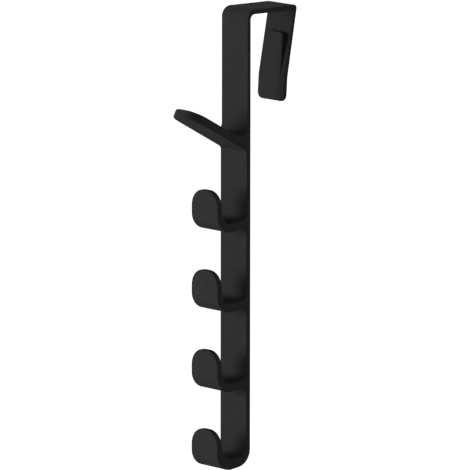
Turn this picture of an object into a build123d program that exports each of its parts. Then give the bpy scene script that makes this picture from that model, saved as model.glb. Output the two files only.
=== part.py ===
from build123d import *
import math
import os

# Over-door hook rail, moulded in one piece: a flat strap hangs from a door bracket, and carries a
# slanted peg, three J hooks and the strap's own end, which curls forward as the lowest hook.
# Millimetres. X runs across the rail, -Y is the room side and +Z is up. The origin is the middle of
# the bar's underside, where the rail sits on the door's top edge.

# Strip
strip_width = 31.0
strap_thickness = 4.0
upper_thickness = 3.0
bar_thickness = 4.0
leg_thickness = 3.0
edge_radius = 1.0

# Door bracket
door_gap = 43.0
front_bend_radius = 4.0
back_bend_radius = 1.2
back_corner_radius = 2.6
knee_gap = 33.5
knee_drop = 50.5
knee_radius = 8.0
foot_drop = 68.9
foot_offset = 1.15
foot_corner_radius = 5.0

# Spring tongue on the leg
tongue_width = 20.0
tongue_thickness = 1.6
tongue_top_drop = 17.0
tongue_corner_radius = 3.0
tongue_edge_radius = 0.4
tongue_root = 5.0

# Peg
peg_drop = 102.7
peg_angle = 28.8
peg_length = 60.5
peg_thickness = 6.45
peg_upper_fillet = 7.0
peg_lower_fillet = 4.0

# Hooks
hook_count = 4
first_hook_drop = 163.6
hook_pitch = 60.8
hook_reach = 28.6
hook_height = 32.4
hook_thickness = 4.7
hook_slope = 11.0
hook_underside_rise = 3.4
hook_floor_thickness = 5.9
hook_bend_radius = 13.0
hook_floor_radius = 8.5
hook_root_radius = 4.5
hook_underside_radius = 4.0
end_flat = 5.0

# Lowest hook, where the strap's end curls forward
end_hook_slope = 8.5
end_hook_rise = 4.5
end_floor_thickness = 7.0
end_floor_radius = 12.0
end_root_radius = 10.0
end_back_radius = 13.0

# Planes and heights that follow from the sizes above
side = strip_width / 2
strap_back = -door_gap / 2
strap_front = strap_back - strap_thickness
upper_front = strap_back - upper_thickness
leg_top = door_gap / 2
leg_knee = strap_back + knee_gap
foot_end = leg_knee - foot_offset
foot_slope = foot_offset / (foot_drop - knee_drop)
tab_front = strap_front - hook_reach
tab_back = tab_front + hook_thickness
end_radius = (strip_width - end_flat) / 2
hook_drops = [first_hook_drop + hook_pitch * number for number in range(hook_count)]
peg_run = Vector(0, -math.cos(math.radians(peg_angle)), math.sin(math.radians(peg_angle)))
peg_rise = Vector(0, math.sin(math.radians(peg_angle)), math.cos(math.radians(peg_angle)))


def slope_height(rise, slope, start, run_to):
    """Height of a sloping line that falls from a rise at one distance from the door to another."""
    return rise - (start - run_to) * math.tan(math.radians(slope))


def hook_corners(drop):
    """Corners of one J hook in the side view, from its underside at the strap round to its root."""
    floor_rise = hook_underside_rise + hook_floor_thickness
    bend_height = slope_height(hook_underside_rise, hook_slope, strap_front, tab_front)
    floor_height = slope_height(floor_rise, hook_slope, strap_front, tab_back)
    return [
        ((strap_front, hook_underside_rise - drop), hook_underside_radius),
        ((tab_front, bend_height - drop), hook_bend_radius),
        ((tab_front, hook_height - drop), 0),
        ((tab_back, hook_height - drop), 0),
        ((tab_back, floor_height - drop), hook_floor_radius),
        ((strap_front, floor_rise - drop), hook_root_radius),
    ]


def end_hook_corners(drop):
    """Corners of the lowest hook, where the strap itself curls forward."""
    floor_rise = end_hook_rise + end_floor_thickness
    bend_height = slope_height(end_hook_rise, end_hook_slope, strap_back, tab_front)
    floor_height = slope_height(floor_rise, end_hook_slope, strap_back, tab_back)
    root_height = slope_height(floor_rise, end_hook_slope, strap_back, strap_front)
    return [
        ((strap_back, end_hook_rise - drop), end_back_radius),
        ((tab_front, bend_height - drop), hook_bend_radius),
        ((tab_front, hook_height - drop), 0),
        ((tab_back, hook_height - drop), 0),
        ((tab_back, floor_height - drop), end_floor_radius),
        ((strap_front, root_height - drop), end_root_radius),
    ]


def peg_corners():
    """Corners of the peg, from its underside at the strap round to its root on the upper strap."""
    root = Vector(0, strap_front, -peg_drop)
    tip_low = root + peg_run * peg_length
    tip_high = tip_low + peg_rise * peg_thickness
    root_high = tip_high + peg_run * ((upper_front - tip_high.Y) / peg_run.Y)
    return [
        ((root.Y, root.Z), peg_lower_fillet),
        ((tip_low.Y, tip_low.Z), 0),
        ((tip_high.Y, tip_high.Z), 0),
        ((root_high.Y, root_high.Z), peg_upper_fillet),
    ]


def bracket_back_corners():
    """Corners of the door bracket's inside, from the foot up the leg and across the door's top."""
    return [
        ((foot_end, -foot_drop), 0),
        ((leg_knee, -knee_drop), knee_radius),
        ((leg_top, 0), back_bend_radius),
        ((strap_back, 0), front_bend_radius),
    ]


def bracket_front_corners():
    """Corners of the door bracket's outside, from the front bend over the top and down the leg."""
    return [
        ((upper_front, bar_thickness), front_bend_radius + bar_thickness),
        ((leg_top + leg_thickness, bar_thickness), back_corner_radius),
        ((leg_knee + leg_thickness, -knee_drop), knee_radius + leg_thickness),
        ((foot_end + leg_thickness, -foot_drop), 0),
    ]


def tongue_corners():
    """Corners of the spring tongue in the side view: the foot's plane carried on upwards, free of the leg."""
    low = -knee_drop - tongue_root
    high = -tongue_top_drop
    front_low = leg_knee + foot_slope * (low + knee_drop)
    front_high = leg_knee + foot_slope * (high + knee_drop)
    return [
        (front_low, low),
        (front_high, high),
        (front_high + tongue_thickness, high),
        (front_low + tongue_thickness, low),
    ]


def level_edges(shape, height):
    """Edges that run straight front to back at one height, as at a tab's or the foot's end."""
    return shape.edges().filter_by(Axis.Y).filter_by_position(Axis.Z, height - 0.01, height + 0.01)


def sharp_edges(shape):
    """Edges where two faces meet at a corner, leaving out those where one runs on into the other."""
    neighbours = {}
    for face in shape.faces():
        for edge in face.edges():
            neighbours.setdefault(edge, []).append(face)
    sharp = []
    for edge, faces in neighbours.items():
        middle = edge @ 0.5
        if faces[0].normal_at(middle).get_angle(faces[-1].normal_at(middle)) > 30:
            sharp.append(edge)
    return sharp


corners = bracket_back_corners() + end_hook_corners(hook_drops[-1])
for drop in reversed(hook_drops[:-1]):
    corners += hook_corners(drop)
corners += peg_corners() + bracket_front_corners()

# Strip: the whole side view in one outline, with its ends rounded in the front view
with BuildPart() as strip:
    with BuildSketch(Plane.YZ):
        with BuildLine():
            FilletPolyline(
                [point for point, radius in corners],
                radius=[radius for point, radius in corners],
                close=True,
            )
        make_face()
    extrude(amount=side, both=True)
    for drop in hook_drops:
        fillet(level_edges(strip, hook_height - drop), radius=end_radius)
    fillet(strip.edges().filter_by(Axis((0, 0, 0), tuple(peg_rise))), radius=end_radius)
    fillet(level_edges(strip, -foot_drop), radius=foot_corner_radius)
    fillet(sharp_edges(strip.part), radius=edge_radius)

# Spring tongue: a narrow leaf that rises from the knee in the foot's plane and bears on the door
with BuildPart() as tongue:
    with BuildSketch(Plane.YZ):
        with BuildLine():
            Polyline(tongue_corners(), close=True)
        make_face()
    extrude(amount=tongue_width / 2, both=True)
    fillet(level_edges(tongue, -tongue_top_drop), radius=tongue_corner_radius)
    fillet(sharp_edges(tongue.part), radius=tongue_edge_radius)

with BuildPart() as hook_rail:
    add(strip.part)
    add(tongue.part)

hook_rail.part.label = "hook_rail"
os.makedirs("parts", exist_ok=True)
export_step(hook_rail.part, "parts/hook_rail.step")
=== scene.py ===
"""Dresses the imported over-door hook rail in matte moulded plastic and sets up its studio and camera."""

from math import cos, radians, sin

import bmesh
import bpy
from mathutils import Euler, Matrix, Vector

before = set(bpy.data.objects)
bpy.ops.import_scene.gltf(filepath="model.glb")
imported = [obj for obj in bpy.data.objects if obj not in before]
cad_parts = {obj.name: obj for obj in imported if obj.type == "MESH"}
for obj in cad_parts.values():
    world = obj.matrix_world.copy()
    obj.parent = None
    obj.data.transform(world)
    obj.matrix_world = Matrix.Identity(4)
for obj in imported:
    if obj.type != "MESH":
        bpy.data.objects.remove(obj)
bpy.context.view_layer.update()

# Camera, fitted to the photograph's outline, in degrees and metres
CAMERA_AZIMUTH = 49.4551
CAMERA_ELEVATION = 9.3342
CAMERA_ROLL = 0.0726
CAMERA_DISTANCE = 5.3405
CAMERA_REACH = 100.0
PIXELS_PER_METRE = 1328.5
PICTURE_WIDTH = 470
SENSOR_WIDTH_MM = 36.0
TARGET = Vector((0, -0.0255, -0.171))
TARGET_PIXEL = (233.45, 238.50)

# Plastic: faint cloudiness between two tones, uneven gloss and a fine grain, with scales per metre
DARKER_TONE = (0.0320, 0.0320, 0.0328, 1)
LIGHTER_TONE = (0.0350, 0.0350, 0.0358, 1)
GLOSSIER_ROUGHNESS = 0.86
DULLER_ROUGHNESS = 0.98
SPECULAR_LEVEL = 0.015
NOISE_LOW = 0.3
NOISE_HIGH = 0.7
CLOUD_SCALE = 70.0
GLOSS_SCALE = 160.0
GRAIN_SCALE = 1500.0
GRAIN_DEPTH = 0.00006
GRAIN_STRENGTH = 0.35

# Soft boxes: degrees left of the strap's front and above level, metres away and wide, and watts
KEY_LAMP = {"side": 42.0, "lift": 3.0, "distance": 3.0, "width": 1.4, "power": 84.0}
FILL_LAMP = {"side": -75.0, "lift": 0.0, "distance": 3.0, "width": 2.4, "power": 10.5}
BACK_LAMP = {"side": 180.0, "lift": 40.0, "distance": 3.0, "width": 1.6, "power": 40.0}

# Room, in metres, in the rail's frame
WHITE = (1, 1, 1, 1)
WHITE_STRENGTH = 1.0
WORLD_FILL = 0.25
FLOOR_PAINT = (0.5, 0.5, 0.5, 1)
FLOOR_DROP = 1.9
FLOOR_WIDTH = 80.0


def add_node(nodes, kind, **inputs):
    """Adds a shader node and sets its sockets by name."""
    node = nodes.new(kind)
    for name, value in inputs.items():
        node.inputs[name.replace("_", " ")].default_value = value
    return node


def moulded_plastic():
    """Near-black plastic with the fine grain that a textured mould leaves."""
    material = bpy.data.materials.new("moulded_plastic")
    material.use_nodes = True
    nodes, links = material.node_tree.nodes, material.node_tree.links
    shader = nodes["Principled BSDF"]
    shader.inputs["Specular IOR Level"].default_value = SPECULAR_LEVEL
    place = nodes.new("ShaderNodeTexCoord")

    clouds = add_node(nodes, "ShaderNodeTexNoise", Scale=CLOUD_SCALE, Detail=3.0, Roughness=0.55)
    links.new(place.outputs["Object"], clouds.inputs["Vector"])
    tone = nodes.new("ShaderNodeValToRGB")
    darker, lighter = tone.color_ramp.elements
    darker.position = NOISE_LOW
    darker.color = DARKER_TONE
    lighter.position = NOISE_HIGH
    lighter.color = LIGHTER_TONE
    links.new(clouds.outputs["Fac"], tone.inputs["Fac"])
    links.new(tone.outputs["Color"], shader.inputs["Base Color"])

    patches = add_node(nodes, "ShaderNodeTexNoise", Scale=GLOSS_SCALE, Detail=4.0, Roughness=0.6)
    links.new(place.outputs["Object"], patches.inputs["Vector"])
    dullness = add_node(nodes, "ShaderNodeMapRange", From_Min=NOISE_LOW, From_Max=NOISE_HIGH,
                        To_Min=GLOSSIER_ROUGHNESS, To_Max=DULLER_ROUGHNESS)
    links.new(patches.outputs["Fac"], dullness.inputs["Value"])
    links.new(dullness.outputs["Result"], shader.inputs["Roughness"])

    grain = add_node(nodes, "ShaderNodeTexNoise", Scale=GRAIN_SCALE, Detail=2.0, Roughness=0.5)
    links.new(place.outputs["Object"], grain.inputs["Vector"])
    texture = add_node(nodes, "ShaderNodeBump", Strength=GRAIN_STRENGTH, Distance=GRAIN_DEPTH)
    links.new(grain.outputs["Fac"], texture.inputs["Height"])
    links.new(texture.outputs["Normal"], shader.inputs["Normal"])
    return material


def dress_rail():
    """Gives the rail its plastic."""
    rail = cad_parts["hook_rail"]
    rail.data.materials.clear()
    rail.data.materials.append(moulded_plastic())


def white_to_camera(nodes, links, hidden, shown):
    """Mixes two shaders: the first for light, the second for what the camera, gloss and glass see."""
    rays = nodes.new("ShaderNodeLightPath")
    seen = rays.outputs["Is Camera Ray"]
    for ray in ("Is Glossy Ray", "Is Transmission Ray"):
        either = nodes.new("ShaderNodeMath")
        either.operation = "MAXIMUM"
        links.new(seen, either.inputs[0])
        links.new(rays.outputs[ray], either.inputs[1])
        seen = either.outputs[0]
    mix = nodes.new("ShaderNodeMixShader")
    links.new(seen, mix.inputs[0])
    links.new(hidden, mix.inputs[1])
    links.new(shown, mix.inputs[2])
    return mix


def soft_box(name, lamp):
    """Stands a round soft box round the rail and turns it to the rail's middle."""
    light = bpy.data.lights.new(name, "AREA")
    light.shape = "DISK"
    light.size = lamp["width"]
    light.energy = lamp["power"]
    holder = bpy.data.objects.new(name, light)
    bpy.context.scene.collection.objects.link(holder)
    side, lift = radians(lamp["side"]), radians(lamp["lift"])
    towards = Vector((-sin(side) * cos(lift), -cos(side) * cos(lift), sin(lift)))
    holder.location = TARGET + towards * lamp["distance"]
    holder.rotation_euler = towards.to_track_quat("Z", "Y").to_euler()


def light_the_room():
    """Key from the front left, nearly level, weaker lamps at the side and behind, and an even world."""
    world = bpy.data.worlds.new("studio")
    bpy.context.scene.world = world
    world.use_nodes = True
    nodes, links = world.node_tree.nodes, world.node_tree.links
    nodes.clear()
    fill = add_node(nodes, "ShaderNodeBackground", Color=WHITE, Strength=WORLD_FILL)
    backdrop = add_node(nodes, "ShaderNodeBackground", Color=WHITE, Strength=WHITE_STRENGTH)
    mix = white_to_camera(nodes, links, fill.outputs[0], backdrop.outputs[0])
    output = nodes.new("ShaderNodeOutputWorld")
    links.new(mix.outputs[0], output.inputs["Surface"])

    soft_box("key", KEY_LAMP)
    soft_box("fill", FILL_LAMP)
    soft_box("back", BACK_LAMP)


def lay_floor():
    """A plain pale floor, white to the camera, at the height a room's floor has under a rail on a door."""
    mesh = bpy.data.meshes.new("floor")
    shape = bmesh.new()
    bmesh.ops.create_grid(shape, x_segments=1, y_segments=1, size=FLOOR_WIDTH / 2)
    bmesh.ops.translate(shape, verts=shape.verts, vec=(0, 0, -FLOOR_DROP))
    shape.to_mesh(mesh)
    shape.free()
    floor = bpy.data.objects.new("floor", mesh)
    bpy.context.scene.collection.objects.link(floor)
    material = bpy.data.materials.new("pale_floor")
    material.use_nodes = True
    nodes, links = material.node_tree.nodes, material.node_tree.links
    nodes.clear()
    paint = add_node(nodes, "ShaderNodeBsdfDiffuse", Color=FLOOR_PAINT)
    glow = add_node(nodes, "ShaderNodeEmission", Color=WHITE, Strength=WHITE_STRENGTH)
    both = nodes.new("ShaderNodeAddShader")
    links.new(paint.outputs[0], both.inputs[0])
    links.new(glow.outputs[0], both.inputs[1])
    mix = white_to_camera(nodes, links, paint.outputs[0], both.outputs[0])
    output = nodes.new("ShaderNodeOutputMaterial")
    links.new(mix.outputs[0], output.inputs["Surface"])
    mesh.materials.append(material)


def set_camera():
    """Puts the camera where the photograph's was, with its slight roll."""
    turn = Euler((radians(90 - CAMERA_ELEVATION), 0, radians(CAMERA_AZIMUTH))).to_matrix()
    right, up, back = turn.col[0], turn.col[1], turn.col[2]
    middle = PICTURE_WIDTH / 2
    aim = TARGET + right * ((middle - TARGET_PIXEL[0]) / PIXELS_PER_METRE)
    aim = aim + up * ((TARGET_PIXEL[1] - middle) / PIXELS_PER_METRE)
    camera = bpy.data.cameras.new("camera")
    camera.sensor_width = SENSOR_WIDTH_MM
    camera.lens = SENSOR_WIDTH_MM * CAMERA_DISTANCE * PIXELS_PER_METRE / PICTURE_WIDTH
    camera.clip_end = CAMERA_REACH
    holder = bpy.data.objects.new("camera", camera)
    bpy.context.scene.collection.objects.link(holder)
    holder.rotation_euler = (turn @ Matrix.Rotation(radians(CAMERA_ROLL), 3, "Z")).to_euler()
    holder.location = aim + back * CAMERA_DISTANCE
    bpy.context.scene.camera = holder


dress_rail()
lay_floor()
light_the_room()
set_camera()
bpy.context.scene.view_settings.view_transform = "Standard"
